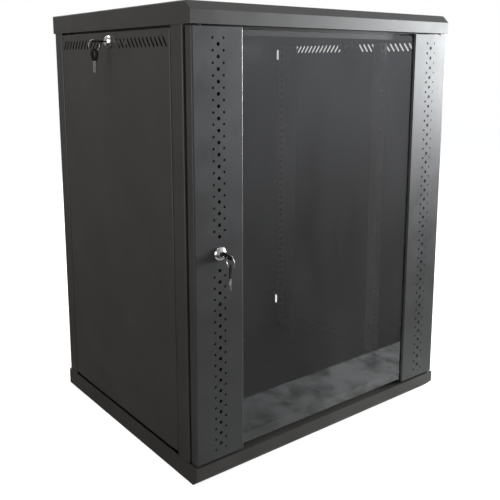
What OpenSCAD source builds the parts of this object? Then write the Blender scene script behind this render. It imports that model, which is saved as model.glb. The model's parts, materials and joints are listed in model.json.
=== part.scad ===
// Floor or wall standing network cabinet for 19 inch equipment: a folded
// sheet-steel frame between a roof cover and a base cover, two lift-off
// side panels, a glazed front door on pin hinges and four depth-adjustable rails.
// Origin: middle of the base's footprint, on the floor. +X right, +Y back, +Z up.

/* [Cabinet] */
// Width across the roof and base covers
cab_w = 600; // [580:10:660]
// Depth of the roof and base covers
cab_d = 490; // [450:10:650]
// Height of the equipment space in rack units of 44.45 mm
rack_units = 15; // [9:1:22]
// Height of the roof cover and of the base cover
cap_h = 34; // [30:1:40]
// Leg of the 45 degree chamfer along each cover's front edge
cap_chamfer = 13; // [8:1:18]

/* [Sheet metal] */
// Thickness of the covers, posts and bars
frame_t = 1.5; // [1.2:0.1:2]
// Thickness of the door strips, panels and small covers
skin_t = 1.2; // [1:0.1:1.5]
// Thickness of the 19 inch rails
rail_t = 1.8; // [1.5:0.1:2]
// Inside radius of every bend
bend_r = 1.5; // [1:0.25:2]

/* [Door] */
// Width of each perforated door strip
strip_w = 94.5; // [80:0.5:105]
// Distance between the rows of holes in a strip
hole_pitch = 18.4; // [15:0.1:24]
// Diameter of the holes in the outer columns
small_hole_d = 4; // [3:0.5:5]
// Diameter of the holes in the middle column
large_hole_d = 6; // [5:0.5:7]
// Thickness of the door glass
glass_t = 4; // [3:0.5:5]

/* [Side panels] */
// Vent slots on each side of a panel's lock
vent_count = 13; // [8:1:13]
// Distance between vent slots
vent_pitch = 12.6; // [12:0.1:13]
// Angle by which a vent slot leans towards the lock
vent_lean = 37; // [0:1:45]

/* [Locks and keys] */
// Radius of a lock's head
lock_head_r = 11.5; // [10.5:0.5:12]
// Height of a lock's head above the sheet
lock_head_h = 7; // [5:0.5:8]
// Angle at which the key stands in the door lock
door_key_angle = 45; // [40:1:45]
// Radius of a key ring, to the middle of its wire
ring_r = 10; // [10:0.5:11]

/* [Hidden] */
$fn = 48;

// Colours
frame_black = "#3a3936";
panel_black = "#403f3b";
door_black = "#4a4a4b";
rail_black = "#2e2e30";
smoked = [0.25, 0.27, 0.29, 0.45];
zinc = "#b8bcc0";
chrome = "#d8dadc";
plastic_black = "#1c1c1d";

// Overall
unit_h = 44.45;
head_room = 103.25;                       // covers and clearances above and below the units
cab_h = rack_units * unit_h + head_room;
half_w = cab_w / 2;
half_d = cab_d / 2;
mid_z = cab_h / 2;
eps = 1;                                  // how far a cutter runs past a face

// Posts: outer faces
post_x = half_w - frame_t;                // against the inside of the covers' sides
door_space = 24;                          // room for the door in front of the posts
post_side_w = [34, 30];                   // width of a front and of a rear post's side face
post_face_w = 36;                         // width of a post's front or back face
post_front_y = -half_d + door_space;
post_rear_y = half_d - 3;
front_seat_y = post_front_y + post_side_w[0];
rear_seat_y = post_rear_y - post_side_w[1];
post_inner_x = half_w - post_face_w;
seat_x = half_w - 17;                     // face of the rebate behind a side panel
seat_l = 16;                              // length of the rebate flange
post_return = 16;                         // fold back along a front post's inner edge
boss_r = 4.5;                             // threaded boss for a cover's screw
boss_h = 8;
sill_z = cap_h + 4;                       // bottom of the door and side panels
lintel_z = cab_h - cap_h - 3;             // top of the door and side panels
panel_h = lintel_z - sill_z;
panel_z = (sill_z + lintel_z) / 2;
wall_slot_z = 70;                         // wall slots, from the top and the bottom
wall_slot_x = half_w - 23;
wall_slot = [7, 25];
post_screw = [half_w - 18, post_front_y + 17, post_rear_y - 15];

// Fasteners
m4_r = 2;
m5_r = 2.5;
m6_r = 3;
running = 0.05;                           // radial clearance round a shaft
m5_head_r = 4.6;
m6_hex_r = 5.8;                           // hexagon, across its corners
pan_head = [3.6, 2.4];                    // radius and height
stub_l = 1.2;                             // thread past a bar's screw joint

// Rails between the posts
beam_h = cap_h + 14;                      // height of the front rails, from the cabinet's ends
beam_depth = 21;
side_beam_w = 20;
side_gap = 0.5;                           // play at each end of a side rail

// Depth bars and 19 inch rails
bar_h = 30;
bar_inset = 76;                           // middle of a bar, from the cover
bar_z = [cap_h + bar_inset, cab_h - cap_h - bar_inset];
bar_play = 1.2;                           // gap between a bar's bend and the post
bar_screw_in = 10;                        // a bar's screw, from the rebate's corner
rail_outer_x = 247;
rail_inner_x = 225;
bar_web_x = rail_outer_x + 0.1;           // inner face of a bar's web
bar_tab_x = seat_x - frame_t;             // bar's tab lies against the rebate flange
rack_hole_x = 465.1 / 2;
rack_hole = 9.5;
rail_half_l = rack_units * unit_h / 2 + 1;
rail_z = [mid_z - rail_half_l, mid_z + rail_half_l];
front_rail_y = -half_d + 105;
rear_rail_y = half_d - 70;
rail_depth = 38;
rail_bolt_in = 22;                        // bolt, from the rail's face
front_travel = [-55, 20];
rear_travel = [-60, 15];

// Roof
fan_x = 115;
fan_y = -25;
fan_hole_pitch = 105;
fan_screw_r = 2.25;
fan_field_r = 52;
cable_cut = [260, 50];
cable_cut_y = half_d - 55;
cover_lap = 8;                            // cover plate, past each edge of the cut-out

// Door
door_half_w = half_w - 2.5;
door_y = -half_d + 1;                     // front face
door_d = 18;
door_back_y = door_y + door_d;
strip_in_x = door_half_w - strip_w;
strip_x = half_w - 50;                    // middle column of holes
hole_offset = 10;
row_limit = floor((panel_h / 2 - 16) / hole_pitch);
inner_lip = 4;
outer_lip = 12;
glass_y = door_y + 4.2;
glass_half_w = strip_in_x + 12;
glass_z = [sill_z + 5, lintel_z - 3];
hinge_x = half_w - 11;
hinge_y = door_y + door_d / 2;
bush_flange_t = 0.8;
bush_flange_r = 7;
bush_l = 9;
bracket_x = [half_w - 29, door_half_w - skin_t - bend_r];
bracket_gap = 0.2;
pin_collar_r = 5;
pin_collar_h = 3;
bracket_t = 2;
top_bracket_z = [lintel_z - 33, lintel_z - 2];
spring_z = [top_bracket_z[0] + bracket_t, top_bracket_z[1] - bracket_t - 0.1 - pin_collar_h];
pin_handle_l = 20;
pin_handle_drop = 8;                      // handle's axis, below the upper bracket
spring_gap = 0.1;                         // between the spring's ends and what they press on
tape_t = 1.2;                             // tape behind the glass
clamp_x = [strip_in_x + 6, strip_in_x + 18.4, strip_in_x + 33];

// Locks: lengths inwards from the sheet's outer face
barrel_r = 9;
plug_r = 5.6;
nut_r = 13;
nut_t = 4;
door_barrel = 23;
door_cam = 25.4;
side_barrel = 18;
side_cam = 19.6;
cam_t = 2;
cam_w = 13;
cam_l = 25;
side_cam_l = 19;
tang = 5;                                 // square end of a plug
screw_gap = 0.4;                          // cam's screw, behind the cam
side_lock_y = (front_seat_y + rear_seat_y) / 2;
side_lock_z = lintel_z - 17;
side_face_x = half_w - 2;
side_depth = 12;
vent_slot = [4, 20];
vent_first = 32;                          // first slot, from the lock
vent_drop = 21;                           // middle of the slots, below the panel's top edge

// Keys
bow_r = 9.5;
bow_t = 2.2;
key_reach = 30;                           // end of a key's bow, from the sheet
bow_web = 3.5;
bow_hole = [7.4, 11];
bow_neck = 6;                             // half the bow's width at its shoulder
blade = [7.5, 2];
blade_tip = -11;
wire_r = 0.7;
web_z = key_reach - bow_web / 2;
ring_drop = ring_r - 3.3;                 // ring's centre below the bow's web
spare_play = 0.7;                         // between a ring and the top of a spare key's hole
spare_top = key_reach - bow_web - wire_r - spare_play;
door_spare_yaw = 44;
side_spare_yaw = 14;

// ---- Helpers ----
function unit(v) = v / norm(v);
function turn(a, b, c) =
    let (u = unit(b - a), v = unit(c - b)) atan2(u[0] * v[1] - u[1] * v[0], u * v);
function trim(a, b, c, r) = r * tan(abs(turn(a, b, c)) / 2);
function bend_centre(a, b, c, r) =
    let (u = unit(b - a)) b - u * trim(a, b, c, r) + sign(turn(a, b, c)) * r * [-u[1], u[0]];

// Straight stretch of sheet from a to b
module flat2d(a, b, t) {
    translate(a) rotate(atan2(b[1] - a[1], b[0] - a[0]))
        translate([0, -t / 2]) square([norm(b - a), t]);
}

// Bend at b, of middle radius r, between the stretches a-b and b-c
module bend2d(a, b, c, r, t) {
    d = trim(a, b, c, r);
    start = b - unit(b - a) * d;
    stop = b + unit(c - b) * d;
    centre = bend_centre(a, b, c, r);
    intersection() {
        translate(centre) difference() {
            circle(r + t / 2);
            circle(r - t / 2);
        }
        polygon([centre, 2 * start - centre, 2 * b - centre, 2 * stop - centre]);
    }
}

// Section of a folded sheet whose middle line runs through pts
module bent_sheet(pts, t) {
    r = bend_r + t / 2;
    n = len(pts);
    for (i = [0:n - 2]) {
        u = unit(pts[i + 1] - pts[i]);
        first = i == 0 ? 0 : trim(pts[i - 1], pts[i], pts[i + 1], r);
        last = i == n - 2 ? 0 : trim(pts[i], pts[i + 1], pts[i + 2], r);
        flat2d(pts[i] + u * first, pts[i + 1] - u * last, t);
    }
    for (i = [1:n - 2]) bend2d(pts[i - 1], pts[i], pts[i + 1], r, t);
}

// Convex outline with corner i rounded to radius rs[i]
module rounded(pts, rs) {
    n = len(pts);
    polygon([for (i = [0:n - 1])
        let (a = pts[(i + n - 1) % n], b = pts[i], c = pts[(i + 1) % n], d = trim(a, b, c, rs[i]))
        each rs[i] > 0 ? [b - unit(b - a) * d, b + unit(c - b) * d] : [b]]);
    for (i = [0:n - 1])
        if (rs[i] > 0)
            translate(bend_centre(pts[(i + n - 1) % n], pts[i], pts[(i + 1) % n], rs[i]))
                circle(rs[i]);
}

// Slot with round ends, size [width, overall length], long way up
module obround(size) {
    r = size[0] / 2;
    run = size[1] - size[0];
    square([size[0], run], center = true);
    for (s = [-1, 1]) translate([0, s * run / 2]) circle(r);
}

// Outline drawn in X and Z, solid from y0 to y1
module along_y(y0, y1) {
    translate([0, y1, 0]) rotate([90, 0, 0]) linear_extrude(y1 - y0) children();
}

// Outline drawn in Y and Z, solid from x0 to x1
module along_x(x0, x1) {
    translate([x0, 0, 0]) rotate([90, 0, 90]) linear_extrude(x1 - x0) children();
}

// Box between two corners
module block(low, high) {
    translate(low) cube(high - low);
}

// Parts are drawn on the right and mirrored for the left
module on_side(side) {
    mirror([side == "left" ? 1 : 0, 0, 0]) children();
}

module hex(r, h) {
    linear_extrude(h) circle(r, $fn = 6);
}

// ---- Roof and base covers ----
// Cover drawn as a roof: open underneath at z = 0, closed at z = cap_h.
// inset is the distance of the surface from the outside.
module cap_block(inset) {
    leg = cap_chamfer - inset * (2 - sqrt(2));
    r = bend_r + frame_t - inset;
    front = -half_d + inset;
    back = half_d - inset;
    top = cap_h - inset;
    low = inset > 0 ? -eps : 0;
    intersection() {
        along_x(-half_w + inset, half_w - inset)
            rounded([[front, low], [back, low], [back, top], [front + leg, top], [front, top - leg]],
                [0, 0, r, r, r]);
        along_y(-half_d, half_d)
            rounded([[-half_w + inset, low], [half_w - inset, low],
                [half_w - inset, top], [-half_w + inset, top]], [0, 0, r, r]);
    }
}

// Countersunk screw hole through a cover's sheet, at each post
module cap_screw_holes(allow) {
    for (sx = [-1, 1], y = [post_screw[1], post_screw[2]])
        translate([sx * post_screw[0], y, cap_h - frame_t]) {
            translate([0, 0, -eps]) cylinder(r = m5_r + allow, h = frame_t + 2 * eps);
            cylinder(r1 = m5_head_r - frame_t, r2 = m5_head_r, h = frame_t);
        }
}

module cap(hinge_bore_r) {
    difference() {
        union() {
            difference() {
                cap_block(0);
                cap_block(frame_t);
            }
            // Lip folded back over the door
            block([-half_w + frame_t, -half_d + frame_t, 0],
                [half_w - frame_t, -half_d + door_space - 4, frame_t]);
        }
        translate([hinge_x, hinge_y, -eps]) cylinder(r = hinge_bore_r, h = frame_t + 2 * eps);
        cap_screw_holes(0.2);
        // Cable entry near the back, closed by a small cover
        block([-cable_cut[0] / 2, cable_cut_y - cable_cut[1] / 2, cap_h - frame_t - eps],
            [cable_cut[0] / 2, cable_cut_y + cable_cut[1] / 2, cap_h + eps]);
        for (sx = [-1, 1])
            translate([sx * (cable_cut[0] + cover_lap) / 2, cable_cut_y, cap_h - frame_t - eps])
                cylinder(r = m4_r + 0.1, h = frame_t + 2 * eps);
    }
}

module fan_field() {
    slot_w = 6;
    slot_step = 11;
    for (i = [-4:4])
        translate([0, i * slot_step, 0]) rotate(90)
            obround([slot_w, 2 * sqrt(pow(fan_field_r, 2) - pow(i * slot_step, 2))]);
    for (sx = [-1, 1], sy = [-1, 1])
        translate([sx, sy] * fan_hole_pitch / 2) circle(fan_screw_r);
}

module roof_cover() {
    color(frame_black) difference() {
        translate([0, 0, cab_h - cap_h]) cap(bush_r() + running);
        for (sx = [-1, 1])
            translate([sx * fan_x, fan_y, cab_h - frame_t - eps])
                linear_extrude(frame_t + 2 * eps) fan_field();
    }
}

module base_cover() {
    color(frame_black)
        translate([0, 0, cap_h]) mirror([0, 0, 1]) cap(bush_r() + running);
}

// ---- Posts ----
// Flange at each end of a post, with a threaded boss for the cover's screw
module post_tabs(x0, x1, y0, y1, screw_y) {
    for (m = [0, 1])
        translate([0, 0, m * cab_h]) mirror([0, 0, m]) difference() {
            union() {
                block([x0, y0, frame_t], [x1, y1, 2 * frame_t]);
                translate([post_screw[0], screw_y, frame_t]) cylinder(r = boss_r, h = boss_h);
            }
            translate([post_screw[0], screw_y, 0])
                cylinder(r = m5_r + running, h = frame_t + boss_h + eps);
        }
}

// Chamfer on a post's ends that clears the bend inside each cover
module cover_bend_relief() {
    out = post_x + eps;
    low = frame_t - eps;
    leg = bend_r + 2 * eps;
    for (m = [0, 1])
        translate([0, 0, m * cab_h]) mirror([0, 0, m])
            along_y(post_front_y - eps, post_rear_y + eps)
                polygon([[out - leg, low], [out, low], [out, low + leg]]);
}

module bar_bolt_holes(y) {
    for (z = bar_z)
        translate([seat_x - 5, y, z]) rotate([0, 90, 0]) cylinder(r = m6_r + 0.2, h = 10);
}

module post_front(side) {
    m = frame_t / 2;
    latch_slot = [post_front_y + frame_t, post_front_y + 9, panel_z - 32, panel_z + 12];
    color(frame_black) on_side(side) difference() {
        union() {
            translate([0, 0, frame_t]) linear_extrude(cab_h - 2 * frame_t)
                bent_sheet([[post_inner_x + m, post_front_y + post_return],
                    [post_inner_x + m, post_front_y + m], [post_x - m, post_front_y + m],
                    [post_x - m, front_seat_y - m], [seat_x + m, front_seat_y - m],
                    [seat_x + m, front_seat_y + seat_l]], frame_t);
            post_tabs(post_inner_x + m, post_x - m, post_front_y + m, front_seat_y - m, post_screw[1]);
        }
        cover_bend_relief();
        bar_bolt_holes(front_seat_y + bar_screw_in);
        // Slot that the door lock's cam turns into
        if (side == "left")
            block([post_inner_x - eps, latch_slot[0], latch_slot[2]],
                [post_inner_x + frame_t + eps, latch_slot[1], latch_slot[3]]);
    }
}

module post_rear(side) {
    m = frame_t / 2;
    color(frame_black) on_side(side) difference() {
        union() {
            translate([0, 0, frame_t]) linear_extrude(cab_h - 2 * frame_t)
                bent_sheet([[post_inner_x, post_rear_y - m], [post_x - m, post_rear_y - m],
                    [post_x - m, rear_seat_y + m], [seat_x + m, rear_seat_y + m],
                    [seat_x + m, rear_seat_y - seat_l]], frame_t);
            post_tabs(seat_x - 10, post_x - m, rear_seat_y + m, post_rear_y - m, post_screw[2]);
        }
        cover_bend_relief();
        bar_bolt_holes(rear_seat_y - bar_screw_in);
        for (z = [wall_slot_z, cab_h - wall_slot_z])
            along_y(post_rear_y - 5, post_rear_y + eps)
                translate([wall_slot_x, z]) obround(wall_slot);
        for (z = panel_screw_z()) translate([panel_screw_x(), post_rear_y + eps, z])
            rotate([90, 0, 0]) cylinder(r = m4_r + 0.1, h = 5);
    }
}

// ---- Rails between the posts ----
module front_rail(flip) {
    m = frame_t / 2;
    color(frame_black) translate([0, 0, flip * cab_h]) mirror([0, 0, flip])
        along_x(-post_inner_x + 0.1, post_inner_x - 0.1)
            bent_sheet([[post_front_y + m, beam_h], [post_front_y + m, frame_t + m],
                [post_front_y + beam_depth, frame_t + m]], frame_t);
}

module side_top_rail(side) {
    m = skin_t / 2;
    x = seat_x - 2 - m;
    top = cab_h - frame_t - m;
    color(frame_black) on_side(side)
        along_y(front_seat_y + seat_l + side_gap, rear_seat_y - seat_l - side_gap)
            bent_sheet([[x, lintel_z - 5], [x, top], [x - side_beam_w, top]], skin_t);
}

// Sill under a side panel, slotted for the panel's two hooks
module side_bottom_rail(side) {
    m = frame_t / 2;
    x = seat_x - 2 - m;
    top = sill_z - 0.1 - m;
    slot_half = hook_w / 2 + 4;
    color(frame_black) on_side(side) difference() {
        along_y(front_seat_y + seat_l + side_gap, rear_seat_y - seat_l - side_gap)
            bent_sheet([[half_w - 3, top], [x, top], [x, frame_t]], frame_t);
        for (y = hook_y())
            block([seat_x + 1, y - slot_half, sill_z - 3], [seat_x + 5.2, y + slot_half, sill_z + eps]);
    }
}

// ---- Back panel ----
function panel_screw_x() = half_w - 33.5;
function panel_screw_z() = [cap_h + 56, cab_h / 2, cab_h - cap_h - 56];
function panel_y() = post_rear_y - frame_t;

module back_panel() {
    side_margin = 29;
    end_margin = 4;
    color(panel_black) along_y(panel_y() - skin_t, panel_y()) difference() {
        translate([-half_w + side_margin, end_margin])
            square([cab_w - 2 * side_margin, cab_h - 2 * end_margin]);
        for (sx = [-1, 1], z = panel_screw_z())
            translate([sx * panel_screw_x(), z]) circle(m4_r + 0.1);
    }
}

// ---- Bars that carry the rails ----
module depth_bars(side) {
    m = frame_t / 2;
    y0 = front_seat_y + m + bar_play;
    y1 = rear_seat_y - m - bar_play;
    color(rail_black) on_side(side) for (z = bar_z) difference() {
        translate([0, 0, z - bar_h / 2]) linear_extrude(bar_h)
            bent_sheet([[bar_tab_x + m, front_seat_y + seat_l - 0.5], [bar_tab_x + m, y0],
                [bar_web_x + m, y0], [bar_web_x + m, y1], [bar_tab_x + m, y1],
                [bar_tab_x + m, rear_seat_y - seat_l + 0.5]], frame_t);
        bar_bolt_holes(front_seat_y + bar_screw_in);
        bar_bolt_holes(rear_seat_y - bar_screw_in);
        bolt_slot(z, front_rail_y + rail_bolt_in, front_travel);
        bolt_slot(z, rear_rail_y - rail_bolt_in, rear_travel);
    }
}

// Slot that lets a rail bolt at y move by the given travel
module bolt_slot(z, y, travel) {
    w = 2 * m6_r + 0.6;
    along_x(bar_web_x - eps, bar_web_x + frame_t + eps)
        translate([y + (travel[0] + travel[1]) / 2, z]) rotate(90)
            obround([w, travel[1] - travel[0] + w + 1]);
}

// ---- 19 inch rails ----
// face_y is the mounting face; dir is 1 for a flange that runs back, -1 for forward
module rack_rail(side, face_y, dir) {
    m = rail_t / 2;
    first_z = mid_z - rack_units * unit_h / 2;
    color(rail_black) on_side(side) difference() {
        translate([0, 0, rail_z[0]]) linear_extrude(rail_z[1] - rail_z[0])
            bent_sheet([[rail_inner_x, face_y + dir * m], [rail_outer_x - m, face_y + dir * m],
                [rail_outer_x - m, face_y + dir * rail_depth]], rail_t);
        along_y(face_y - rail_t - eps, face_y + rail_t + eps)
            for (u = [0:rack_units - 1], dz = [6.35, 22.225, 38.1])
                translate([rack_hole_x, first_z + u * unit_h + dz]) square(rack_hole, center = true);
        for (z = bar_z)
            translate([rail_outer_x - 5, face_y + dir * rail_bolt_in, z])
                rotate([0, 90, 0]) cylinder(r = m6_r + 0.1, h = 10);
    }
}

module rail_bolts(side, y) {
    head_t = 4;
    nut_h = 5;
    stub = 1.5;                           // shank past the nut
    inner = rail_outer_x - rail_t;
    nut_x = bar_web_x + frame_t + 0.1;
    color(zinc) on_side(side) for (z = bar_z)
        translate([0, y, z]) rotate([0, 90, 0]) {
            translate([0, 0, inner - head_t]) hex(m6_hex_r, head_t);
            translate([0, 0, inner]) cylinder(r = m6_r, h = nut_x + nut_h + stub - inner);
            translate([0, 0, nut_x]) hex(m6_hex_r, nut_h);
        }
}

// ---- Covers, screws and bushes ----
module cable_cover() {
    l = cable_cut[0] / 2 + cover_lap;
    w = cable_cut[1] / 2 + cover_lap;
    linear_extrude(skin_t) difference() {
        rounded([[-l, -w], [l, -w], [l, w], [-l, w]], [3, 3, 3, 3]);
        for (sx = [-1, 1]) translate([sx * (cable_cut[0] + cover_lap) / 2, 0]) circle(m4_r + 0.1);
    }
}

module cable_covers() {
    color(frame_black) {
        translate([0, cable_cut_y, cab_h - frame_t - skin_t]) cable_cover();
        translate([0, cable_cut_y, frame_t]) cable_cover();
    }
}

// Countersunk screws of the covers and hexagon screws of the depth bars
module frame_screws() {
    color(zinc) {
        for (flip = [0, 1], sx = [-1, 1], y = [post_screw[1], post_screw[2]])
            translate([sx * post_screw[0], y, flip * cab_h]) mirror([0, 0, flip]) countersunk_screw();
        for (side = ["left", "right"], z = bar_z,
                y = [front_seat_y + bar_screw_in, rear_seat_y - bar_screw_in])
            on_side(side) translate([bar_tab_x, y, z]) rotate([0, 90, 0]) {
                translate([0, 0, -4]) hex(m6_hex_r, 4);
                cylinder(r = m6_r, h = 2 * frame_t + stub_l);
            }
    }
}

module countersunk_screw() {
    socket = [1.5, 0.8];                  // radius and depth of the hexagon socket
    cylinder(r = m5_r, h = 12);
    difference() {
        cylinder(r1 = m5_head_r - running, r2 = m5_head_r - frame_t - running, h = frame_t);
        translate([0, 0, -eps]) hex(socket[0], eps + socket[1]);
    }
}

// Pan-head screws of the back panel and the cable covers
module panel_screws() {
    color(zinc) {
        for (sx = [-1, 1], z = panel_screw_z())
            translate([sx * panel_screw_x(), panel_y() - skin_t, z]) rotate([-90, 0, 0])
                pan_screw(skin_t + frame_t + 0.8);
        for (sx = [-1, 1])
            translate([sx * (cable_cut[0] + cover_lap) / 2, cable_cut_y, 0]) {
                translate([0, 0, cab_h - frame_t - skin_t]) pan_screw(skin_t + frame_t);
                translate([0, 0, frame_t + skin_t]) mirror([0, 0, 1]) pan_screw(skin_t + frame_t);
            }
    }
}

// Screw whose head is below z = 0 and whose shank points up
module pan_screw(l) {
    cylinder(r = m4_r, h = l);
    translate([0, 0, -pan_head[1]]) cylinder(r = pan_head[0], h = pan_head[1]);
}

function bush_r() = m6_r + running + 1.4;

module hinge_bush() {
    difference() {
        union() {
            cylinder(r = bush_flange_r, h = bush_flange_t);
            cylinder(r = bush_r(), h = bush_l);
        }
        translate([0, 0, -eps]) cylinder(r = m6_r + running, h = bush_l + 2 * eps);
    }
}

module hinge_bushes() {
    color(plastic_black) {
        translate([hinge_x, hinge_y, cab_h - cap_h - bush_flange_t]) hinge_bush();
        translate([hinge_x, hinge_y, cap_h + bush_flange_t]) mirror([0, 0, 1]) hinge_bush();
    }
}

module earth_stud() {
    weld_flange = [6, 2];                 // radius and thickness
    color("gold") translate([-half_w + 100, half_d - 95, frame_t]) {
        cylinder(r = weld_flange[0], h = weld_flange[1]);
        cylinder(r = m6_r, h = 16);
    }
}

// ---- Door ----
module strip_holes(skip_lock) {
    for (k = [-row_limit:row_limit]) {
        if (!skip_lock || abs(k) > 1)
            translate([strip_x + hole_offset, panel_z + k * hole_pitch]) circle(d = small_hole_d);
        if (!skip_lock || abs(k) > 1)
            translate([strip_x - hole_offset, panel_z + k * hole_pitch]) circle(d = small_hole_d);
        if (k < row_limit && (!skip_lock || abs(k + 0.5) > 1))
            translate([strip_x, panel_z + (k + 0.5) * hole_pitch]) circle(d = large_hole_d);
    }
}

module door_strip(side) {
    m = skin_t / 2;
    color(door_black) on_side(side) difference() {
        union() {
            translate([0, 0, sill_z]) linear_extrude(panel_h)
                bent_sheet([[strip_in_x + m, door_y + inner_lip], [strip_in_x + m, door_y + m],
                    [door_half_w - m, door_y + m], [door_half_w - m, door_back_y - m],
                    [door_half_w - outer_lip, door_back_y - m]], skin_t);
            // Folded ends that close the channel
            for (z = [sill_z, lintel_z - skin_t])
                block([strip_in_x + skin_t, door_y + m, z], [door_half_w - m, door_back_y - m, z + skin_t]);
        }
        along_y(door_y - eps, door_y + skin_t + eps) {
            strip_holes(side == "left");
            if (side == "left") translate([strip_x, panel_z]) circle(barrel_r + 0.1);
        }
        if (side == "right")
            translate([hinge_x, hinge_y, sill_z - eps])
                cylinder(r = pin_collar_r + 1, h = panel_h + 2 * eps);
    }
}

module door_glass() {
    color(smoked) along_y(glass_y, glass_y + glass_t)
        translate([-glass_half_w, glass_z[0]]) square([2 * glass_half_w, glass_z[1] - glass_z[0]]);
}

// Bonding tape in front of and behind each edge of the glass
module door_glass_tapes() {
    back = glass_y + glass_t;
    color(plastic_black) for (side = ["left", "right"]) on_side(side) {
        block([strip_in_x + skin_t + bend_r, door_y + skin_t, glass_z[0]],
            [glass_half_w - 2, glass_y, glass_z[1]]);
        block([clamp_x[0] + 1.5, back, glass_z[0] + 3],
            [glass_half_w - 0.5, back + tape_t, glass_z[1] - 3]);
    }
}

// Folded rail behind a strip that clamps the edge of the glass
module door_stiffener(side) {
    m = skin_t / 2;
    rear = glass_y + glass_t + tape_t + m;
    front = door_y + skin_t + m;
    color(door_black) on_side(side)
        translate([0, 0, glass_z[0] + 1]) linear_extrude(glass_z[1] - glass_z[0] - 4)
            bent_sheet([[clamp_x[2], front], [clamp_x[1], front], [clamp_x[1], rear],
                [clamp_x[0], rear]], skin_t);
}

// Bracket with two eyes for a hinge pin, from z0 to z1
module hinge_bracket(z0, z1) {
    y0 = door_y + skin_t + bracket_gap;
    y1 = door_back_y - skin_t - bracket_gap;
    color(zinc) difference() {
        union() {
            block([bracket_x[0], y0, z0], [bracket_x[1], y0 + bracket_t, z1]);
            block([bracket_x[0], y0, z0], [bracket_x[1], y1, z0 + bracket_t]);
            block([bracket_x[0], y0, z1 - bracket_t], [bracket_x[1], y1, z1]);
        }
        translate([hinge_x, hinge_y, z0 - eps]) cylinder(r = m6_r + running, h = z1 - z0 + 2 * eps);
    }
}

module hinge_bracket_top() {
    hinge_bracket(top_bracket_z[0], top_bracket_z[1]);
}

module hinge_bracket_bottom() {
    hinge_bracket(sill_z + 2, sill_z + 26);
}

// Fixed lower pin; its collar carries the door's weight on the bush
module hinge_pin_bottom() {
    collar_z = cap_h + bush_flange_t + 0.1;
    color(zinc) translate([hinge_x, hinge_y, 0]) {
        translate([0, 0, cap_h - 5]) cylinder(r = m6_r, h = sill_z + 28 - cap_h + 5);
        translate([0, 0, collar_z]) cylinder(r = pin_collar_r, h = sill_z + 2 - collar_z);
    }
}

// Sprung upper pin with a collar and a finger handle bent to the left
module hinge_pin_top() {
    top = cab_h - cap_h + 5;
    handle_z = top_bracket_z[0] - pin_handle_drop;
    color(zinc) translate([hinge_x, hinge_y, 0]) {
        translate([0, 0, handle_z]) cylinder(r = m6_r, h = top - 1 - handle_z);
        translate([0, 0, top - 1]) cylinder(r1 = m6_r, r2 = m6_r - 1, h = 1);
        translate([0, 0, spring_z[1]]) cylinder(r = pin_collar_r, h = pin_collar_h);
        translate([0, 0, handle_z]) sphere(r = m6_r);
        translate([0, 0, handle_z]) rotate([0, -90, 0]) cylinder(r = m6_r - 0.5, h = pin_handle_l);
    }
}

// Compression spring between the lower eye and the pin's collar
module hinge_spring() {
    turns = 6;
    steps = 16;
    sides = 8;
    wire = 0.6;
    coil = 4.3;
    lift = (spring_z[1] - spring_z[0] - 2 * wire - 2 * spring_gap) / turns;
    slope = atan2(lift, 360 * coil * PI / 180);
    count = turns * steps;
    points = [for (i = [0:count]) let (a = i * 360 / steps) for (j = [0:sides - 1])
        let (b = j * 360 / sides, radial = wire * cos(b), up = wire * sin(b))
        [(coil + radial) * cos(a) + up * sin(slope) * sin(a),
            (coil + radial) * sin(a) - up * sin(slope) * cos(a),
            i / steps * lift + up * cos(slope)]];
    walls = [for (i = [0:count - 1], j = [0:sides - 1])
        let (k = (j + 1) % sides, a = i * sides, b = a + sides)
        each [[a + j, b + k, a + k], [a + j, b + j, b + k]]];
    ends = [[for (j = [0:sides - 1]) j], [for (j = [sides - 1:-1:0]) count * sides + j]];
    color(zinc) translate([hinge_x, hinge_y, spring_z[0] + wire + spring_gap])
        polyhedron(points = points, faces = concat(walls, ends), convexity = 10);
}

// ---- Locks: drawn round z, outwards is +z, the sheet's outer face is z = 0 ----
module lock_body(barrel) {
    edge = 2;
    face_r = lock_head_r - 5;
    dome_z = (pow(face_r, 2) + pow(lock_head_h, 2) - pow(lock_head_r, 2) - pow(edge, 2))
        / (2 * (lock_head_h - edge));
    dome_r = sqrt(pow(lock_head_r, 2) + pow(edge - dome_z, 2));
    color(chrome) rotate_extrude() difference() {
        union() {
            intersection() {
                square([lock_head_r, lock_head_h]);
                translate([0, dome_z]) circle(dome_r);
            }
            translate([0, -barrel]) square([barrel_r, barrel]);
        }
        translate([-eps, -barrel - eps]) square([plug_r + running + eps, barrel + lock_head_h + 2 * eps]);
    }
}

module lock_nut() {
    color(zinc) translate([0, 0, -skin_t - nut_t]) difference() {
        hex(nut_r, nut_t);
        translate([0, 0, -eps]) cylinder(r = barrel_r + running, h = nut_t + 2 * eps);
    }
}

// Plug with its keyway, and a square tang for the cam, turned by tang_turn from the keyway
module lock_plug(cam_z, tang_turn) {
    color(chrome) {
        difference() {
            translate([0, 0, -cam_z]) cylinder(r = plug_r, h = cam_z + lock_head_h + 0.3);
            block([-blade[0] / 2 - 0.2, -blade[1] / 2 - 0.2, blade_tip - 1],
                [blade[0] / 2 + 0.2, blade[1] / 2 + 0.2, lock_head_h + eps]);
        }
        rotate(tang_turn)
            block([-tang / 2, -tang / 2, -cam_z - cam_t - screw_gap], [tang / 2, tang / 2, -cam_z + eps]);
    }
}

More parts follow.
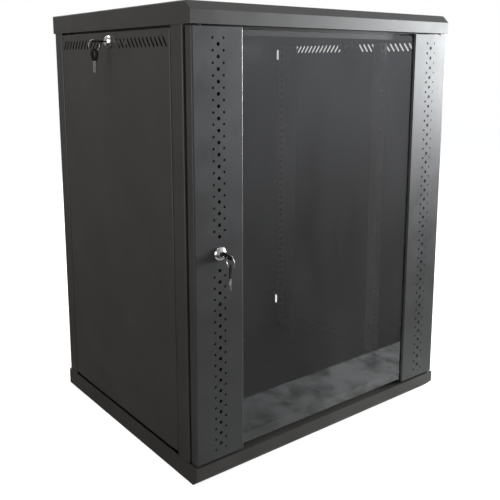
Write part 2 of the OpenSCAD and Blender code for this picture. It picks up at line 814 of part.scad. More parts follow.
// Cam with its retaining screw; it points to +x, its length from the axis is l
module lock_cam(cam_z, l) {
    screw_head = [4.5, 3];                // radius and height
    color(zinc) {
        translate([0, 0, -cam_z - cam_t]) linear_extrude(cam_t) difference() {
            union() {
                circle(cam_w / 2 + 1);
                rounded([[0, -cam_w / 2], [l, -cam_w / 2], [l, cam_w / 2], [0, cam_w / 2]], [0, 3, 3, 0]);
            }
            square(tang + 2 * running, center = true);
        }
        translate([0, 0, -cam_z - cam_t - screw_gap - screw_head[1]])
            cylinder(r = screw_head[0], h = screw_head[1]);
    }
}

// Key: bow outwards, blade inwards; width along x, thickness along y
module key() {
    notch = 1.3;
    shoulder = key_reach - 2 * bow_r - 2;
    color(plastic_black) rotate([90, 0, 0]) {
        translate([0, 0, -bow_t / 2]) linear_extrude(bow_t) difference() {
            union() {
                translate([0, key_reach - bow_r]) circle(bow_r);
                rounded([[-bow_neck, shoulder], [bow_neck, shoulder],
                    [bow_r - 1.5, key_reach - bow_r], [-bow_r + 1.5, key_reach - bow_r]], [2, 2, 0, 0]);
            }
            translate([0, key_reach - bow_web - bow_hole[1] / 2]) obround(bow_hole);
        }
        translate([0, 0, -blade[1] / 2]) linear_extrude(blade[1]) difference() {
            translate([-blade[0] / 2, blade_tip]) square([blade[0], shoulder - blade_tip + 0.5]);
            for (i = [0:4])
                translate([blade[0] / 2, blade_tip + 3 + i * 3]) circle(notch, $fn = 4);
            for (sx = [-1, 1])
                translate([sx * blade[0] / 2, blade_tip]) rotate(45) square(2.4, center = true);
        }
    }
}

// Ring round the web of the key in the lock; its plane holds the lock's axis
module key_ring() {
    color(chrome) translate([0, -ring_drop, web_z]) rotate([0, 90, 0])
        rotate_extrude() translate([ring_r, 0]) circle(wire_r);
}

// Spare key hanging from the lowest point of the ring
module spare_key(yaw) {
    translate([0, -ring_drop - ring_r, web_z]) rotate([-90, 0, 0]) rotate(yaw)
        translate([0, 0, -spare_top]) key();
}

// Places of the three locks
module at_door_lock() {
    translate([-strip_x, door_y, panel_z]) rotate([90, 0, 0]) children();
}

module at_side_lock(side) {
    turned = side == "left" ? -90 : 90;
    x = side == "left" ? -side_face_x : side_face_x;
    translate([x, side_lock_y, side_lock_z]) rotate([0, 0, turned]) rotate([90, 0, 0]) children();
}

// ---- Side panels ----
hook_w = 20;
hook_spread = 260;
function hook_y() = [side_lock_y - hook_spread / 2, side_lock_y + hook_spread / 2];

module panel_block(inset) {
    r = bend_r + skin_t - inset;
    y0 = front_seat_y + 2 + inset;
    y1 = rear_seat_y - 2 - inset;
    z0 = sill_z + inset;
    z1 = lintel_z - inset;
    x1 = side_face_x - inset;
    x0 = side_face_x - side_depth - (inset > 0 ? eps : 0);
    intersection() {
        translate([0, 0, z0]) linear_extrude(z1 - z0)
            rounded([[x0, y0], [x1, y0], [x1, y1], [x0, y1]], [0, r, r, 0]);
        along_y(y0, y1)
            rounded([[x0, z0], [x1, z0], [x1, z1], [x0, z1]], [0, r, r, 0]);
    }
}

// Tray with vent slots that lean towards the lock, and two hooks below
module side_panel(side) {
    back_x = side_face_x - side_depth;
    reach = (rear_seat_y - front_seat_y - vent_slot[1]) / 2;
    vents = min(vent_count, 1 + floor((reach - vent_first) / vent_pitch));
    color(panel_black) on_side(side) difference() {
        union() {
            difference() {
                panel_block(0);
                panel_block(skin_t);
            }
            for (y = hook_y())
                block([back_x, y - hook_w / 2, sill_z - 6],
                    [back_x + skin_t, y + hook_w / 2, sill_z + 0.6]);
        }
        along_x(side_face_x - skin_t - 0.5, side_face_x + eps) {
            for (s = [-1, 1], i = [0:vents - 1])
                translate([side_lock_y + s * (vent_first + i * vent_pitch), lintel_z - vent_drop])
                    rotate(s * vent_lean) obround(vent_slot);
            translate([side_lock_y, side_lock_z]) circle(barrel_r + 0.1);
        }
    }
}

// ---- The assembly ----
roof_cover();
base_cover();
post_front("left");  // post_front_left
post_front("right");  // post_front_right
post_rear("left");  // post_rear_left
post_rear("right");  // post_rear_right
front_rail(1);  // front_top_rail
front_rail(0);  // front_bottom_rail
side_top_rail("left");  // side_top_rail_left
side_top_rail("right");  // side_top_rail_right
side_bottom_rail("left");  // side_bottom_rail_left
side_bottom_rail("right");  // side_bottom_rail_right
back_panel();
depth_bars("left");  // depth_bars_left
depth_bars("right");  // depth_bars_right
cable_covers();
frame_screws();
panel_screws();
hinge_bushes();
earth_stud();
rack_rail("left", front_rail_y, 1);  // rail_front_left
rack_rail("right", front_rail_y, 1);  // rail_front_right
rack_rail("left", rear_rail_y, -1);  // rail_rear_left
rack_rail("right", rear_rail_y, -1);  // rail_rear_right
rail_bolts("left", front_rail_y + rail_bolt_in);  // rail_bolts_front_left
rail_bolts("right", front_rail_y + rail_bolt_in);  // rail_bolts_front_right
rail_bolts("left", rear_rail_y - rail_bolt_in);  // rail_bolts_rear_left
rail_bolts("right", rear_rail_y - rail_bolt_in);  // rail_bolts_rear_right
door_strip("left");  // door_strip_left
door_strip("right");  // door_strip_right
door_glass();
door_glass_tapes();
door_stiffener("left");  // door_stiffener_left
door_stiffener("right");  // door_stiffener_right
hinge_bracket_top();
hinge_bracket_bottom();
hinge_pin_bottom();
hinge_pin_top();
hinge_spring();
at_door_lock() lock_body(door_barrel);  // door_lock_body
at_door_lock() lock_nut();  // door_lock_nut
at_door_lock() rotate(-door_key_angle) lock_plug(door_cam, door_key_angle);  // door_lock_plug
at_door_lock() rotate(-90) lock_cam(door_cam, cam_l);  // door_lock_cam
at_door_lock() rotate(-door_key_angle) key();  // door_key
at_door_lock() key_ring();  // door_key_ring
at_door_lock() spare_key(door_spare_yaw);  // door_spare_key
side_panel("left");  // side_panel_left
at_side_lock("left") lock_body(side_barrel);  // side_lock_body_left
at_side_lock("left") lock_nut();  // side_lock_nut_left
at_side_lock("left") lock_plug(side_cam, 0);  // side_lock_plug_left
at_side_lock("left") lock_cam(side_cam, side_cam_l);  // side_lock_cam_left
at_side_lock("left") key();  // side_key_left
at_side_lock("left") key_ring();  // side_key_ring_left
at_side_lock("left") spare_key(side_spare_yaw);  // side_spare_key_left
side_panel("right");  // side_panel_right
at_side_lock("right") lock_body(side_barrel);  // side_lock_body_right
at_side_lock("right") lock_nut();  // side_lock_nut_right
at_side_lock("right") lock_plug(side_cam, 0);  // side_lock_plug_right
at_side_lock("right") lock_cam(side_cam, side_cam_l);  // side_lock_cam_right
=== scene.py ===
import json
import math

import bpy
from mathutils import Matrix, Vector


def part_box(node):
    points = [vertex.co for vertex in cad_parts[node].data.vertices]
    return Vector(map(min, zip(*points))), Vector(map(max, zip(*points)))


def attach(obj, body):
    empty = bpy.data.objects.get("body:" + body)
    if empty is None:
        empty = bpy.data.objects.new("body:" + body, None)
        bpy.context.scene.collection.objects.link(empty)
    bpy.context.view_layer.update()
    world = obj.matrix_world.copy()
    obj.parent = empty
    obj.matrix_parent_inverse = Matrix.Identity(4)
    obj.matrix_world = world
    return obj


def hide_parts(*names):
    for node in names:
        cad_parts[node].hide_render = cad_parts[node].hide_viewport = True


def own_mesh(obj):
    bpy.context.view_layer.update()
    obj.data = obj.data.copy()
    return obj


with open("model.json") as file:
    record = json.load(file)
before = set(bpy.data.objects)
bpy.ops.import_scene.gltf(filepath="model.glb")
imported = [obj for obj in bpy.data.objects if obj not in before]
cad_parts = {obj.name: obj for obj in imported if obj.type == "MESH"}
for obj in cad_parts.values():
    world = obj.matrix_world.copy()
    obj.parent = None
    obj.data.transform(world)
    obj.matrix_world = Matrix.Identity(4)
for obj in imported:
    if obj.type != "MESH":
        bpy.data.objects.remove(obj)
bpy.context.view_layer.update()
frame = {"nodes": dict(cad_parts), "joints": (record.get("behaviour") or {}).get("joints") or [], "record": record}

MM = 0.001
GLASS_Y = -0.24              # front face of the door's glass
JOINT_AT = {joint["name"]: Vector(joint.get("pos_m", (0, 0, 0))) for joint in frame["joints"]}
SLOT_OF = {part["node"]: part["material_slot"] for part in frame["record"]["subparts"]}

# ---- Camera, with the slight downward shift that keeps upright edges nearly parallel ----
CAMERA_AT = Vector((-0.868, -1.111, 0.679))
CAMERA_TURN = 38.03          # degrees to the right of +Y
CAMERA_DIP = 10.23           # degrees below the horizon
CAMERA_SHIFT = -0.12
FOCAL_LENGTH = 50.5          # millimetres, on a sensor of SENSOR_WIDTH
SENSOR_WIDTH = 36


def make_camera():
    data = bpy.data.cameras.new("camera")
    data.sensor_width = SENSOR_WIDTH
    data.lens = FOCAL_LENGTH
    data.shift_y = CAMERA_SHIFT
    data.clip_start = 0.01
    data.clip_end = 50
    camera = bpy.data.objects.new("camera", data)
    camera.location = CAMERA_AT
    camera.rotation_euler = (math.radians(90 - CAMERA_DIP), 0, math.radians(-CAMERA_TURN))
    bpy.context.scene.collection.objects.link(camera)
    bpy.context.scene.camera = camera
    bpy.context.scene.view_settings.view_transform = "Standard"


# ---- Shader nodes ----
def node_of(tree, kind, **values):
    """Adds a shader node and sets its inputs and properties by name."""
    made = tree.nodes.new(kind)
    for name, value in values.items():
        if name in made.inputs:
            made.inputs[name].default_value = value
        else:
            setattr(made, name, value)
    return made


def map_range(tree, value, source, target):
    """Carries a value from one (low, high) range to another."""
    made = node_of(tree, "ShaderNodeMapRange")
    for name, number in zip(("From Min", "From Max", "To Min", "To Max"), (*source, *target)):
        made.inputs[name].default_value = number
    tree.links.new(value, made.inputs["Value"])
    return made.outputs["Result"]


def colour_ramp(tree, factor, stops):
    """The colour that factor meets along stops of (place, (red, green, blue))."""
    made = node_of(tree, "ShaderNodeValToRGB")
    elements = made.color_ramp.elements
    for element, (place, colour) in zip(elements, (stops[0], stops[-1])):
        element.position = place
        element.color = (*colour, 1)
    for place, colour in stops[1:-1]:
        elements.new(place).color = (*colour, 1)
    tree.links.new(factor, made.inputs["Fac"])
    return made.outputs["Color"]


# ---- Stage ----
FLOOR_REACH = 6
FLOOR_GLOW = 0.72            # added for the camera alone, which makes the floor white
MIRRORED_REACH = 0.195       # how far before the glass the mirrored floor runs
MIRRORED_SPAN = (-0.8, 1.4)
CLEAR_OF_FLOOR = 0.0005


def floor_material():
    """Pale floor, bright to the camera and dimmer to what stands on it."""
    material = bpy.data.materials.new("floor")
    material.use_nodes = True
    tree = material.node_tree
    shader = tree.nodes["Principled BSDF"]
    shader.inputs["Base Color"].default_value = (0.6, 0.6, 0.6, 1)
    shader.inputs["Roughness"].default_value = 0.8
    shader.inputs["Specular IOR Level"].default_value = 0.0
    shader.inputs["Emission Color"].default_value = (1, 1, 1, 1)
    rays = node_of(tree, "ShaderNodeLightPath")
    glow = node_of(tree, "ShaderNodeMath", operation="MULTIPLY")
    glow.inputs[1].default_value = FLOOR_GLOW
    tree.links.new(rays.outputs["Is Camera Ray"], glow.inputs[0])
    tree.links.new(glow.outputs[0], shader.inputs["Emission Strength"])
    return material


def mirrored_floor_material():
    """Worn, smudged pale floor, seen only in the glass: a glowing strip, a painted reflection of the lit floor."""
    material = bpy.data.materials.new("floor_mirrored")
    material.use_nodes = True
    tree = material.node_tree
    tree.nodes.clear()
    out = node_of(tree, "ShaderNodeOutputMaterial")
    glow = node_of(tree, "ShaderNodeEmission")
    place = node_of(tree, "ShaderNodeTexCoord").outputs["Object"]
    smudge = node_of(tree, "ShaderNodeTexNoise", Scale=17, Detail=9, Roughness=0.66, Distortion=0.5)
    tree.links.new(place, smudge.inputs["Vector"])
    colour = colour_ramp(tree, smudge.outputs["Fac"],
                         ((0.36, (0.33, 0.34, 0.33)), (0.56, (0.86, 0.88, 0.86))))
    split = node_of(tree, "ShaderNodeSeparateXYZ")
    tree.links.new(place, split.inputs[0])
    # Painted light: the strip glows brighter towards +x, the key lamp's side
    strength = map_range(tree, split.outputs["X"], (-0.15, 0.25), (0.55, 1.15))
    tree.links.new(strength, glow.inputs["Strength"])
    tree.links.new(colour, glow.inputs["Color"])
    tree.links.new(glow.outputs[0], out.inputs[0])
    return material


def plane(name, x_range, y_range, z, material):
    (x0, x1), (y0, y1) = x_range, y_range
    mesh = bpy.data.meshes.new(name)
    mesh.from_pydata([(x0, y0, z), (x1, y0, z), (x1, y1, z), (x0, y1, z)], [], [(0, 1, 2, 3)])
    made = bpy.data.objects.new(name, mesh)
    mesh.materials.append(material)
    bpy.context.scene.collection.objects.link(made)
    return made


def make_floor():
    reach = (-FLOOR_REACH, FLOOR_REACH)
    floor = plane("floor", reach, reach, 0.0, floor_material())
    floor.visible_glossy = False
    # What the glass mirrors is a glowing strip of pale floor before the door: a painted reflection
    strip = plane("floor_before_door", MIRRORED_SPAN, (GLASS_Y - MIRRORED_REACH, GLASS_Y),
                  CLEAR_OF_FLOOR, mirrored_floor_material())
    strip.visible_camera = False
    strip.visible_diffuse = False
    strip.visible_shadow = False


ROOM_FROM_FLOOR_UP = ((0.28, (0.14, 0.13, 0.12)), (0.38, (0.24, 0.23, 0.22)),
                      (0.46, (0.50, 0.49, 0.50)), (0.58, (0.84, 0.87, 0.92)),
                      (1.0, (0.45, 0.46, 0.47)))


def make_world():
    """White to the camera; a dim studio to the surfaces."""
    world = bpy.data.worlds.new("studio")
    bpy.context.scene.world = world
    world.use_nodes = True
    tree = world.node_tree
    tree.nodes.clear()
    out = node_of(tree, "ShaderNodeOutputWorld")
    mix = node_of(tree, "ShaderNodeMixShader")
    rays = node_of(tree, "ShaderNodeLightPath")
    seen = node_of(tree, "ShaderNodeBackground", Color=(1, 1, 1, 1), Strength=1.0)
    lit = node_of(tree, "ShaderNodeBackground", Strength=1.0)
    place = node_of(tree, "ShaderNodeTexCoord").outputs["Generated"]
    split = node_of(tree, "ShaderNodeSeparateXYZ")
    links = tree.links
    links.new(place, split.inputs[0])
    upwards = map_range(tree, split.outputs["Z"], (-1, 1), (0, 1))
    links.new(colour_ramp(tree, upwards, ROOM_FROM_FLOOR_UP), lit.inputs["Color"])
    # The room's left and rear are darker than its right
    sideways = map_range(tree, split.outputs["X"], (-0.3, 0.85), (0.42, 1.27))
    links.new(sideways, lit.inputs["Strength"])
    links.new(rays.outputs["Is Camera Ray"], mix.inputs[0])
    links.new(lit.outputs[0], mix.inputs[1])
    links.new(seen.outputs[0], mix.inputs[2])
    links.new(mix.outputs[0], out.inputs[0])


def softbox(name, place, aim, size, power, colour=(1, 1, 1)):
    """A rectangular lamp of the given power in watts, which shines at aim."""
    data = bpy.data.lights.new(name, "AREA")
    data.shape = "RECTANGLE"
    data.size, data.size_y = size
    data.energy = power
    data.color = colour
    light = bpy.data.objects.new(name, data)
    light.location = place
    light.rotation_euler = (Vector(aim) - Vector(place)).to_track_quat("-Z", "Y").to_euler()
    light.visible_camera = False
    bpy.context.scene.collection.objects.link(light)


def make_lights():
    middle, door_right = (0, 0, 0.4), (0.3, -0.24, 0.6)
    cool, warm = (0.95, 0.98, 1), (1, 0.97, 0.92)
    softbox("key_right", (2.72, -1.16, 0.92), door_right, (1.1, 1.1), 170, cool)
    softbox("fill_left", (-2.6, -0.4, 0.9), middle, (2.2, 1.7), 34, warm)
    softbox("top", (-0.4, 0.5, 2.6), middle, (2.0, 1.6), 30)
    softbox("back", (0.6, 2.6, 1.4), middle, (2.2, 1.8), 35)


# ---- Materials ----
class Shader:
    """A node material in the making. Its textures lie in the piece's own space, in metres."""

    def __init__(self, name):
        self.material = bpy.data.materials.new(name)
        self.material.use_nodes = True
        self.tree = self.material.node_tree
        self.surface = self.tree.nodes["Principled BSDF"]
        self.place = node_of(self.tree, "ShaderNodeTexCoord").outputs["Object"]
        self.height = None

    def stretched(self, scale):
        mapping = node_of(self.tree, "ShaderNodeMapping")
        mapping.inputs["Scale"].default_value = scale
        self.tree.links.new(self.place, mapping.inputs["Vector"])
        return mapping.outputs["Vector"]

    def noise(self, per_metre, detail=2.0, stretch=None):
        made = node_of(self.tree, "ShaderNodeTexNoise", Scale=per_metre, Detail=detail)
        source = self.stretched(stretch) if stretch else self.place
        self.tree.links.new(source, made.inputs["Vector"])
        return made.outputs["Fac"]

    def between(self, factor, low, high, start=0.3, end=0.7):
        """A value that runs from low to high as factor runs from start to end."""
        return map_range(self.tree, factor, (start, end), (low, high))

    def blend(self, factor, first, second):
        """A colour mixed from two by factor. Inputs 6 and 7 and output 2 are the colour ones."""
        made = node_of(self.tree, "ShaderNodeMix", data_type="RGBA")
        self.tree.links.new(factor, made.inputs[0])
        for socket, colour in ((made.inputs[6], first), (made.inputs[7], second)):
            if hasattr(colour, "links"):
                self.tree.links.new(colour, socket)
            else:
                socket.default_value = (*colour, 1)
        return made.outputs[2]

    def bump(self, height, depth, strength=1.0):
        """Adds relief of the given depth in metres, over any relief added before."""
        made = node_of(self.tree, "ShaderNodeBump", Strength=strength, Distance=depth)
        self.tree.links.new(height, made.inputs["Height"])
        if self.height:
            self.tree.links.new(self.height, made.inputs["Normal"])
        self.height = made.outputs["Normal"]

    def finish(self, colour, roughness, metallic=0.0, specular=0.5):
        for name, value in (("Base Color", colour), ("Roughness", roughness)):
            socket = self.surface.inputs[name]
            if hasattr(value, "links"):
                self.tree.links.new(value, socket)
            else:
                socket.default_value = (*value, 1) if isinstance(value, tuple) else value
        self.surface.inputs["Metallic"].default_value = metallic
        self.surface.inputs["Specular IOR Level"].default_value = specular
        if self.height:
            self.tree.links.new(self.height, self.surface.inputs["Normal"])
        return self.material


def powder_coat(name, dark, pale, roughness, specular=0.5):
    """Fine-textured powder coat: a pebbled skin, uneven gloss, paler where it faces up."""
    s = Shader(name)
    clouds = s.noise(9, 3)
    grain = s.noise(1400, 2)
    s.bump(s.noise(520, 2), 0.00009, 0.5)
    s.bump(grain, 0.00003, 0.4)
    normal = node_of(s.tree, "ShaderNodeNewGeometry").outputs["Normal"]
    split = node_of(s.tree, "ShaderNodeSeparateXYZ")
    s.tree.links.new(normal, split.inputs[0])
    # Paler the more the surface faces up
    up = s.between(split.outputs["Z"], 0.0, 0.35, 0.6, 1.0)
    base = s.blend(s.between(clouds, 0, 1), dark, pale)
    speck = tuple(min(1, c * 1.8) for c in pale)
    speckled = s.blend(s.between(grain, 0, 0.25, 0.45, 0.75), base, speck)
    paler_facing_up = s.blend(up, speckled, tuple(c * 1.35 + 0.01 for c in pale))
    gloss = s.between(s.noise(22, 4), roughness - 0.05, roughness + 0.05)
    return s.finish(paler_facing_up, gloss, specular=specular)


def plated(name, bright, dull, roughness, brush=None):
    """Plated or bare metal with cloudy tarnish and fine scratches."""
    s = Shader(name)
    scratches = s.noise(900, 2, brush or (1, 1, 1))
    s.bump(scratches, 0.00002, 0.3)
    colour = s.blend(s.between(s.noise(120, 3), 0, 1), bright, dull)
    return s.finish(colour, s.between(scratches, roughness * 0.8, roughness * 1.25), metallic=1.0)


def moulded(name, colour, roughness, specular=0.5):
    """Moulded plastic with a fine eroded skin."""
    s = Shader(name)
    s.bump(s.noise(1800, 2), 0.00004, 0.5)
    paler = tuple(c * 1.5 + 0.004 for c in colour)
    varied = s.blend(s.between(s.noise(150, 2), 0, 1), colour, paler)
    gloss = s.between(s.noise(300, 2), roughness - 0.06, roughness + 0.06)
    return s.finish(varied, gloss, specular=specular)


def foam(name):
    """Black closed-cell foam."""
    s = Shader(name)
    s.bump(s.noise(2600, 3), 0.0002, 0.8)
    return s.finish(s.blend(s.between(s.noise(700, 2), 0, 1), (0.012,) * 3, (0.03,) * 3), 0.9)


def front_gloss(tree):
    """Share of light a pane mirrors: both its faces at once, counted on the way in."""
    fresnel = node_of(tree, "ShaderNodeFresnel", IOR=1.5)
    side = node_of(tree, "ShaderNodeNewGeometry")
    outside = node_of(tree, "ShaderNodeMath", operation="SUBTRACT")
    outside.inputs[0].default_value = 1
    both = node_of(tree, "ShaderNodeMath", operation="MULTIPLY")
    both.inputs[1].default_value = 1.85
    share = node_of(tree, "ShaderNodeMath", operation="MULTIPLY", use_clamp=True)
    tree.links.new(side.outputs["Backfacing"], outside.inputs[1])
    tree.links.new(fresnel.outputs[0], both.inputs[0])
    tree.links.new(both.outputs[0], share.inputs[0])
    tree.links.new(outside.outputs[0], share.inputs[1])
    return share.outputs[0]


def smoked_glass(name):
    """Clear toughened glass, slightly smoked, with faint smears in its gloss."""
    s = Shader(name)
    tree = s.tree
    smear = s.noise(16, 5, (1, 1, 0.35))
    tint = s.blend(s.between(s.noise(3, 1), 0, 1), (0.81, 0.81, 0.80), (0.77, 0.77, 0.76))
    through = node_of(tree, "ShaderNodeBsdfTransparent")
    mirror = node_of(tree, "ShaderNodeBsdfAnisotropic", distribution="GGX")
    mirror.inputs["Color"].default_value = (0.95, 0.97, 1.0, 1)
    film = node_of(tree, "ShaderNodeBsdfDiffuse")
    film.inputs["Color"].default_value = (0.30, 0.31, 0.32, 1)
    gloss = front_gloss(tree)
    skin = node_of(tree, "ShaderNodeMixShader")
    whole = node_of(tree, "ShaderNodeMixShader")
    links = tree.links
    links.new(tint, through.inputs["Color"])
    links.new(s.between(smear, 0.0, 0.05), mirror.inputs["Roughness"])
    links.new(s.between(smear, 0.015, 0.04), skin.inputs[0])
    links.new(through.outputs[0], skin.inputs[1])
    links.new(film.outputs[0], skin.inputs[2])
    links.new(gloss, whole.inputs[0])
    links.new(skin.outputs[0], whole.inputs[1])
    links.new(mirror.outputs[0], whole.inputs[2])
    links.new(whole.outputs[0], tree.nodes["Material Output"].inputs["Surface"])
    tree.nodes.remove(s.surface)
    return s.material


# Dark and pale shade, roughness
PAINTS = {
    "frame_paint": ((0.0225, 0.0205, 0.0185), (0.0275, 0.0255, 0.0225), 0.42),
    "panel_paint": ((0.0235, 0.0215, 0.0195), (0.0285, 0.0265, 0.0235), 0.44),
    "rail_paint": ((0.105, 0.104, 0.104), (0.125, 0.124, 0.123), 0.50),
    "door_paint": ((0.021, 0.021, 0.021), (0.026, 0.026, 0.027), 0.40),
}
# Bright and dull shade, roughness, and the stretch of the scratches
METALS = {
    "zinc_steel": ((0.66, 0.67, 0.70), (0.56, 0.56, 0.55), 0.32),
    "lock_chrome": ((0.86, 0.86, 0.85), (0.78, 0.78, 0.77), 0.14),
    "stud_brass": ((0.80, 0.62, 0.30), (0.66, 0.48, 0.22), 0.28),
    "key_blade": ((0.40, 0.39, 0.38), (0.30, 0.29, 0.28), 0.32, (8, 8, 1)),
    "ring_steel": ((0.62, 0.61, 0.60), (0.52, 0.51, 0.50), 0.36),
}


def make_materials():
    made = {name: powder_coat(name, *finish) for name, finish in PAINTS.items()}
    made |= {name: plated(name, *finish) for name, finish in METALS.items()}
    made["smoked_glass"] = smoked_glass("smoked_glass")
    made["tape"] = foam("tape")
    made["nylon"] = moulded("nylon", (0.016, 0.016, 0.016), 0.45)
    made["key_plastic"] = moulded("key_plastic", (0.006, 0.006, 0.006), 0.75, 0.05)
    return made


# ---- CAD nodes: finish, and softened edges ----
# Width of the softened edges in millimetres, by material slot
EDGE = {"frame_paint": 0.35, "panel_paint": 0.35, "rail_paint": 0.3, "door_paint": 0.3,
        "smoked_glass": 0.5, "zinc_steel": 0.25, "lock_chrome": 0.2, "nylon": 0.3,
        "stud_brass": 0.3}
SHARP = math.radians(40)
WELD_WITHIN = 1e-6
# Nodes with another finish than their slot's
PAINTED_AS = {"depth_bars_left": "frame_paint", "depth_bars_right": "frame_paint"}


def soften(obj, width):
    weld = obj.modifiers.new("weld", "WELD")
    weld.merge_threshold = WELD_WITHIN
    bevel = obj.modifiers.new("bevel", "BEVEL")
    bevel.width = width * MM
    bevel.segments = 2
    bevel.limit_method = "ANGLE"
    bevel.angle_limit = SHARP
    bevel.use_clamp_overlap = True
    normals = obj.modifiers.new("normals", "WEIGHTED_NORMAL")
    normals.weight = 80


def dress_cad(materials):
    for name, obj in frame["nodes"].items():
        slot = PAINTED_AS.get(name, SLOT_OF[name])
        obj.data.materials.clear()
        obj.data.materials.append(materials[slot])
        if slot in EDGE:
            soften(obj, EDGE[slot])


# ---- Keys and their split rings, in place of the CAD's plain ones ----
# A key's own frame: z along its blade towards the bow's end, x across it, y its thickness.
KEY_END = 0.030
BOW_RADIUS = 0.0095
BOW_THICK = 0.0022
BOW_EDGE = 0.00035           # rounding of the bow's edges
NECK_HALF = BOW_RADIUS - 0.0035
SHOULDER = KEY_END - 2 * BOW_RADIUS - 0.002
HOLE_ENDS = (KEY_END - 0.0145, KEY_END - 0.0035)
HOLE_HALF = 0.0033
BLADE_TIP = -0.011
BLADE_HALF = 0.00375
BLADE_THICK = 0.0018
BLADE_EDGE = 0.00012
TIP_HALF = 0.0012
TIP_LENGTH = 0.0025
BITTING = (0.0, 0.9, 0.9, 0.3, 0.3, 1.3, 1.3, 0.6, 0.6, 1.1, 1.1, 0.2, 0.2, 0.8, 0.8, 0.0)
BITTING_STEP = 0.00105
RIBS = ((-0.0034, -0.0008), (0.0009, 0.0021))
RIB_FACES = (0.00085, 0.00098)
RING_RADIUS = 0.010
RING_WIRE = 0.00034
RING_TURNS = 2
RING_STEPS = 96
RING_GAP = 0.02              # share of a turn between the wire's two ends
RING_CROSSING = 9            # steepness of the step from one turn to the other
RING_START = 2.2             # radians
RING_DROP = 0.0067           # ring's own centre line below the lock's axis, where it hangs
WEB = KEY_END - 0.00175      # middle of the web that the ring goes round
SPARE_HANG = 0.0251
# Side, turn of the key in the lock, turn of the spare key on its ring, and the CAD's nodes
KEY_SETS = (("door", -45, 44, "door_key", "door_key_ring", "door_spare_key"),
            ("left", 0, 14, "side_key_left", "side_key_ring_left", "side_spare_key_left"))


def add_object(name, data, material, matrix, body):
    """A piece in its place, which rides on the body and is finished as the slot."""
    obj = bpy.data.objects.new(name, data)
    bpy.context.scene.collection.objects.link(obj)
    data.materials.append(material)
    obj.matrix_world = matrix
    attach(obj, body)
    return obj


def arc(centre, radius, start, stop, steps):
    """Points of an arc from start to stop, in degrees."""
    x, z = centre
    angles = [math.radians(start + (stop - start) * i / steps) for i in range(steps + 1)]
    return [(x + radius * math.cos(angle), z + radius * math.sin(angle)) for angle in angles]


def plate_curve(name, outlines, thickness, edge):
    """Flat plate with rounded edges, cut to closed outlines of (x, z) points."""
    data = bpy.data.curves.new(name, "CURVE")
    data.dimensions = "2D"
    data.fill_mode = "BOTH"
    data.extrude = thickness / 2 - edge
    data.bevel_depth = edge
    data.bevel_resolution = 2
    data.offset = -edge
    for outline in outlines:
        spline = data.splines.new("POLY")
        spline.points.add(len(outline) - 1)
        for point, (x, z) in zip(spline.points, outline):
            point.co = (x, z, 0, 1)
        spline.use_cyclic_u = True
    return data


def bow_outlines():
    """Round bow with a neck, and the long hole that its ring goes through."""
    middle = (0, KEY_END - BOW_RADIUS)
    outer = arc(middle, BOW_RADIUS, -28, 208, 40)
    corner = ((0.0, 0.0012), (0.0008, 0.0002), (0.002, 0.0))
    outer += [(inset - NECK_HALF, SHOULDER + rise) for inset, rise in corner]
    outer += [(NECK_HALF - inset, SHOULDER + rise) for inset, rise in reversed(corner)]
    start, end = HOLE_ENDS
    hole = arc((0, end - HOLE_HALF), HOLE_HALF, 0, 180, 14)
    hole += arc((0, start + HOLE_HALF), HOLE_HALF, 180, 360, 14)
    return [outer, hole[::-1]]


def blade_outline():
    """Blade with a shallow bitting along one edge and a pointed tip."""
    base = SHOULDER + 0.0004
    first = BLADE_TIP + TIP_LENGTH
    bitted = [(BLADE_HALF - depth * MM, first + i * BITTING_STEP)
              for i, depth in enumerate(BITTING)]
    tip = [(-BLADE_HALF, first), (-TIP_HALF, BLADE_TIP), (TIP_HALF, BLADE_TIP)]
    return [tip + bitted + [(BLADE_HALF, base), (-BLADE_HALF, base)]]


def groove_mesh(name):
    """Two raised ribs down each side of a blade, which make its milled groove."""
    vertices, faces = [], []
    for low_x, high_x in RIBS:
        for side in (-1, 1):
            start = len(vertices)
            near, far = (side * face for face in RIB_FACES)
            section = ((low_x, near), (high_x, near), (high_x, far), (low_x, far))
            for z in (BLADE_TIP + 0.003, SHOULDER):
                vertices += [(x, y, z) for x, y in section]
            for i in range(4):
                k = (i + 1) % 4
                faces.append((start + i, start + k, start + 4 + k, start + 4 + i))
            faces.append(tuple(start + i for i in (3, 2, 1, 0)))
            faces.append(tuple(start + 4 + i for i in range(4)))
    mesh = bpy.data.meshes.new(name)
    mesh.from_pydata(vertices, [], faces)
    return mesh


def make_key(node, body, matrix, materials):
    flat = matrix @ Matrix.Rotation(math.pi / 2, 4, "X")
    bow = plate_curve(node + "_bow", bow_outlines(), BOW_THICK, BOW_EDGE)
    bow = add_object(node + "_bow", bow, materials["key_plastic"], flat, body)
    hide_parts(node)
    blade = plate_curve(node + "_blade", blade_outline(), BLADE_THICK, BLADE_EDGE)
    steel = materials["key_blade"]
    add_object(node + "_blade", blade, steel, flat, body)
    add_object(node + "_ribs", groove_mesh(node + "_ribs"), steel, matrix, body)


def make_split_ring(node, body, matrix, materials):
    """Spring-steel ring of two turns side by side, drawn round its own z."""
    data = bpy.data.curves.new(node + "_split", "CURVE")
    data.dimensions = "3D"
    data.bevel_depth = RING_WIRE
    data.bevel_resolution = 4
    data.use_fill_caps = True
    spline = data.splines.new("POLY")
    spline.points.add(RING_STEPS * RING_TURNS)
    for i, point in enumerate(spline.points):
        turn = i / RING_STEPS
        # The wire steps across from one turn to the other near the middle of its length
        across = max(-1.0, min(1.0, (turn - 1) * RING_CROSSING))
        angle = 2 * math.pi * turn * (1 - RING_GAP / RING_TURNS) + RING_START
        point.co = (RING_RADIUS * math.cos(angle), RING_RADIUS * math.sin(angle),
                    across * RING_WIRE, 1)
    ring = add_object(node + "_split", data, materials["ring_steel"], matrix, body)
    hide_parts(node)


def turned(axis, degrees):
    return Matrix.Rotation(math.radians(degrees), 4, axis)


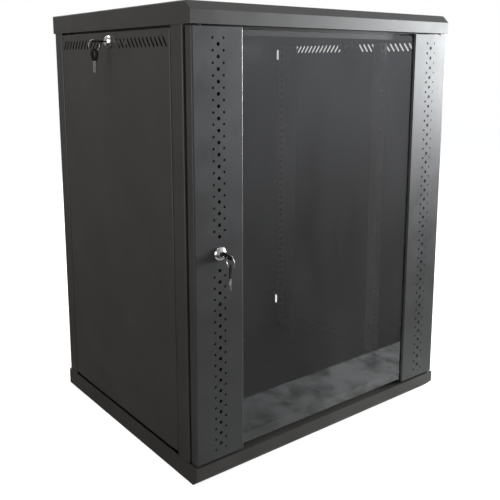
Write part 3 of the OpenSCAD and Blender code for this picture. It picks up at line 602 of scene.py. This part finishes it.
def make_keys(materials):
    axes = {"door": Matrix.Translation(JOINT_AT["door_lock_turn"]) @ turned("X", 90),
            "left": Matrix.Translation(JOINT_AT["left_lock_turn"]) @ turned("Z", -90)
            @ turned("X", 90)}
    hang = turned("X", -90)
    for side, key_turn, spare_turn, key, ring, spare in KEY_SETS:
        axis = axes[side]
        make_key(key, side + "_lock", axis @ turned("Z", key_turn), materials)
        ring_at = axis @ Matrix.Translation((0, -RING_DROP, WEB))
        make_split_ring(ring, side + "_ring", ring_at @ turned("Y", 90), materials)
        ring_bottom = ring_at @ Matrix.Translation((0, -RING_RADIUS, 0))
        hung = ring_bottom @ hang @ turned("Z", spare_turn)
        below = Matrix.Translation((0, 0, -SPARE_HANG))
        make_key(spare, side + "_spare", hung @ below, materials)


# ---- The hinge's spring, in place of the CAD's stiff one ----
SPRING_WIRE = 0.0006
SPRING_TURNS = 6
SPRING_STEPS = 24            # to a turn
SPRING_SIDES = 10


def coil_mesh(name, middle, radius, wire, low, high, turns):
    """Round wire wound round a vertical axis, its lowest and highest points at low and high."""
    steps, sides = SPRING_STEPS, SPRING_SIDES
    rise = (high - low - 2 * wire) / turns
    slope = math.atan2(rise, 2 * math.pi * radius)
    count = steps * turns
    vertices = []
    for i in range(count + 1):
        a = 2 * math.pi * i / steps
        for j in range(sides):
            b = 2 * math.pi * j / sides
            out, up = radius + wire * math.cos(b), wire * math.sin(b)
            vertices.append((middle.x + out * math.cos(a) + up * math.sin(slope) * math.sin(a),
                             middle.y + out * math.sin(a) - up * math.sin(slope) * math.cos(a),
                             low + wire + rise * i / steps + up * math.cos(slope)))
    faces = [(i + j, i + sides + j, i + sides + (j + 1) % sides, i + (j + 1) % sides)
             for i in range(0, count * sides, sides) for j in range(sides)]
    faces += [tuple(range(sides)), tuple(reversed(range(count * sides, (count + 1) * sides)))]
    mesh = bpy.data.meshes.new(name)
    mesh.from_pydata(vertices, [], faces)
    mesh.shade_smooth()
    return mesh


def make_hinge_spring(materials):
    low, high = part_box("hinge_spring")
    middle = (low + high) / 2
    radius = high.x - middle.x - SPRING_WIRE
    mesh = coil_mesh("hinge_spring_coil", middle, radius, SPRING_WIRE, low.z, high.z, SPRING_TURNS)
    coil = add_object("hinge_spring_coil", mesh, materials["zinc_steel"], Matrix.Identity(4),
                      "door")
    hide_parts("hinge_spring")
    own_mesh(coil)


make_camera()
make_world()
make_floor()
make_lights()
materials = make_materials()
dress_cad(materials)
make_keys(materials)
make_hinge_spring(materials)
